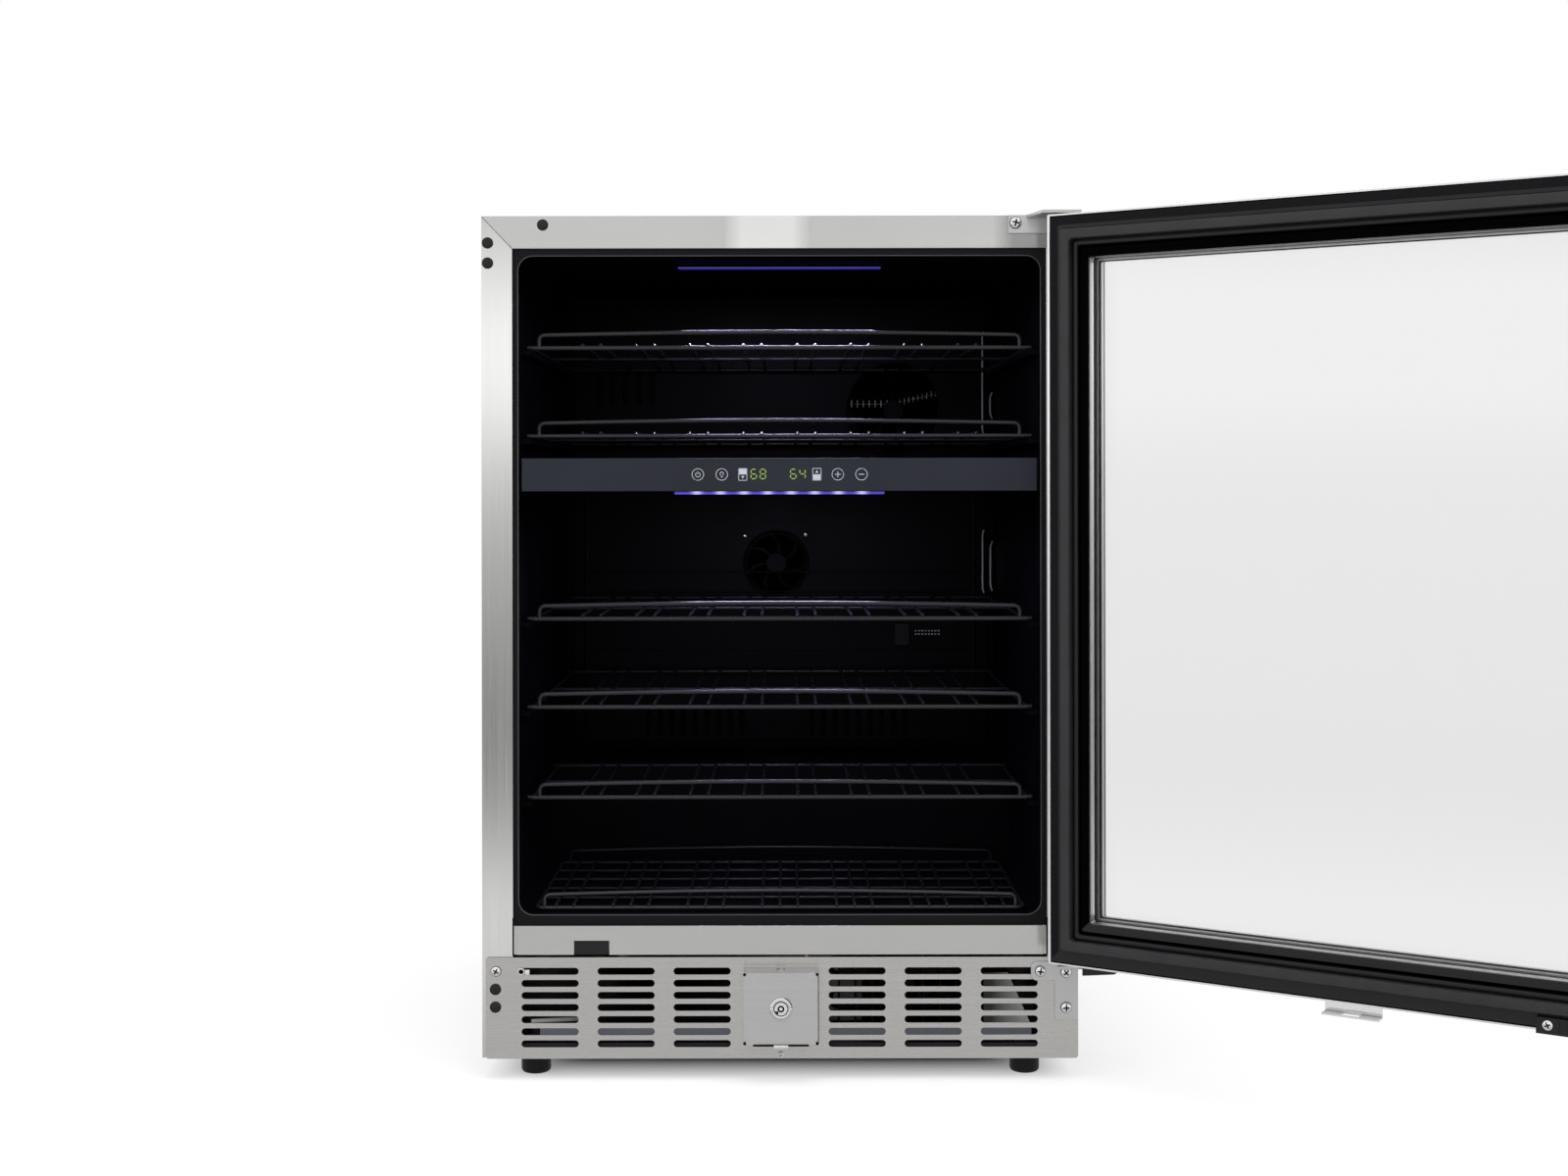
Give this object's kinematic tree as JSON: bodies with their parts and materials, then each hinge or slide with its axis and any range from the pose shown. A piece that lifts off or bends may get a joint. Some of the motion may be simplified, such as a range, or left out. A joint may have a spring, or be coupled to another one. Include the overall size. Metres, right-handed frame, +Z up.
{
  "type": "undercounter refrigerator",
  "caption": "Built-in undercounter dual-zone refrigerator: steel cabinet, glass door on side hinges, sliding wire shelves, control strip, vented kick plate with key lock.",
  "frame": {"origin": "on the floor, half way across the cabinet, in the plane of the front frame's face", "axes": "+X right seen from the front, +Y from the front into the cabinet, +Z up; the door stands 148 degrees open at rest"},
  "size_m": [1.0893, 0.8849, 0.864],
  "materials": {
    "stainless": "brushed along the length, satin",
    "bracket_steel": "stamped bright steel, satin",
    "screw_steel": "bright zinc-nickel, cross recess",
    "lock_chrome": "bright nickel",
    "galvanised": "zinc-coated sheet, mottled",
    "black_sheet": "black powder-coated sheet, fine texture",
    "black_steel": "black enamel on pressed steel",
    "liner_plastic": "black moulded plastic, fine grain",
    "door_plastic": "black extruded plastic, satin",
    "fascia_plastic": "dark blue-grey satin touch panel",
    "fan_plastic": "black moulded plastic",
    "foot_plastic": "black nylon",
    "black_wire": "glossy black powder coat on wire",
    "seal_rubber": "soft dark grey magnetic seal",
    "foam": "cut polyurethane foam",
    "glass": "clear low-emissivity pane",
    "aluminium": "mill finish",
    "copper": "drawn copper tube, slightly dulled",
    "circuit_board": "green solder mask",
    "led_lens": "frosted lens lit blue-violet"
  },
  "bodies": {
    "cabinet": {"outer_shell": "black_sheet", "back_panel": "galvanised", "machine_cover": "galvanised", "machine_bay_panel": "galvanised", "inner_liner": "liner_plastic", "foam_insulation": "foam", "front_frame_left": "stainless", "front_frame_right": "stainless", "front_frame_top": "stainless", "front_frame_bottom": "stainless", "base_pan": "galvanised", "kick_plate": "stainless", "lock_housing": "bracket_steel", "top_hinge_bracket": "bracket_steel", "bottom_hinge_bracket": "bracket_steel", "top_hinge_screw": "screw_steel", "bottom_hinge_screw_1": "screw_steel", "bottom_hinge_screw_2": "screw_steel", "bottom_hinge_screw_3": "screw_steel", "zone_divider": "liner_plastic", "control_fascia": "fascia_plastic", "control_board": "circuit_board", "led_bar_upper": "led_lens", "led_bar_lower": "led_lens", "upper_duct_cover": "liner_plastic", "lower_duct_cover": "liner_plastic", "temperature_sensor": "liner_plastic", "evaporator_upper": "aluminium", "evaporator_lower": "aluminium", "bottom_rack": "black_wire", "compressor": "black_steel", "drip_pan": "liner_plastic", "condenser_coil": "aluminium", "condenser_fan_shroud": "galvanised", "refrigerant_line": "copper", "power_inlet": "liner_plastic"},
    "door": {"door_outer_frame": "stainless", "door_inner_frame": "door_plastic", "door_gasket": "seal_rubber", "glass_outer": "glass", "glass_inner": "glass", "glass_spacer": "aluminium", "door_handle": "stainless", "door_catch": "bracket_steel", "hinge_stop_block": "door_plastic", "corner_shoe": "door_plastic"},
    "lock_barrel": {"lock_cylinder": "lock_chrome"},
    "lock_pin": {"lock_bolt": "lock_chrome"},
    "upper_fan_wheel": {"upper_fan": "fan_plastic"},
    "lower_fan_wheel": {"lower_fan": "fan_plastic"},
    "condenser_fan_wheel": {"condenser_fan": "fan_plastic"},
    "sliding_shelf_1": {"shelf_1": "black_wire"},
    "sliding_shelf_2": {"shelf_2": "black_wire"},
    "sliding_shelf_3": {"shelf_3": "black_wire"},
    "sliding_shelf_4": {"shelf_4": "black_wire"},
    "sliding_shelf_5": {"shelf_5": "black_wire"},
    "levelling_foot_front_left": {"foot_front_left": "foot_plastic"},
    "levelling_foot_front_right": {"foot_front_right": "foot_plastic"},
    "levelling_foot_back_left": {"foot_back_left": "foot_plastic"},
    "levelling_foot_back_right": {"foot_back_right": "foot_plastic"}
  },
  "joints": [
    {"name": "door_swing", "type": "hinge", "parent": "cabinet", "child": "door", "pos_m": [0.2845, -0.03, 0.49], "axis": [0, 0, 1], "range_deg": [-148, 7]},
    {"name": "shelf_1_slide", "type": "slide", "parent": "cabinet", "child": "sliding_shelf_1", "axis": [0, -1, 0], "range_m": [0, 0.28]},
    {"name": "shelf_2_slide", "type": "slide", "parent": "cabinet", "child": "sliding_shelf_2", "axis": [0, -1, 0], "range_m": [0, 0.28]},
    {"name": "shelf_3_slide", "type": "slide", "parent": "cabinet", "child": "sliding_shelf_3", "axis": [0, -1, 0], "range_m": [0, 0.28]},
    {"name": "shelf_4_slide", "type": "slide", "parent": "cabinet", "child": "sliding_shelf_4", "axis": [0, -1, 0], "range_m": [0, 0.28]},
    {"name": "shelf_5_slide", "type": "slide", "parent": "cabinet", "child": "sliding_shelf_5", "axis": [0, -1, 0], "range_m": [0, 0.15]},
    {"name": "upper_fan_spin", "type": "hinge", "parent": "cabinet", "child": "upper_fan_wheel", "pos_m": [0.138, 0.452, 0.687], "axis": [0, 1, 0], "continuous": true},
    {"name": "lower_fan_spin", "type": "hinge", "parent": "cabinet", "child": "lower_fan_wheel", "pos_m": [-0.005, 0.452, 0.5], "axis": [0, 1, 0], "continuous": true},
    {"name": "condenser_fan_spin", "type": "hinge", "parent": "cabinet", "child": "condenser_fan_wheel", "pos_m": [0.155, 0.108, 0.075], "axis": [0, 1, 0], "continuous": true},
    {"name": "lock_turn", "type": "hinge", "parent": "cabinet", "child": "lock_barrel", "pos_m": [0.0008, -0.023, 0.0785], "axis": [0, 1, 0], "range_deg": [0, 90]},
    {"name": "lock_bolt_lift", "type": "slide", "parent": "cabinet", "child": "lock_pin", "axis": [0, 0, 1], "range_m": [0, 0.01]},
    {"name": "foot_front_left_extend", "type": "slide", "parent": "cabinet", "child": "levelling_foot_front_left", "axis": [0, 0, -1], "range_m": [0, 0.02]},
    {"name": "foot_front_right_extend", "type": "slide", "parent": "cabinet", "child": "levelling_foot_front_right", "axis": [0, 0, -1], "range_m": [0, 0.02]},
    {"name": "foot_back_left_extend", "type": "slide", "parent": "cabinet", "child": "levelling_foot_back_left", "axis": [0, 0, -1], "range_m": [0, 0.02]},
    {"name": "foot_back_right_extend", "type": "slide", "parent": "cabinet", "child": "levelling_foot_back_right", "axis": [0, 0, -1], "range_m": [0, 0.02]}
  ],
  "couplings": [
    {"joint": "lock_turn", "follows": "lock_bolt_lift", "rad_per_m": 157.08}
  ]
}
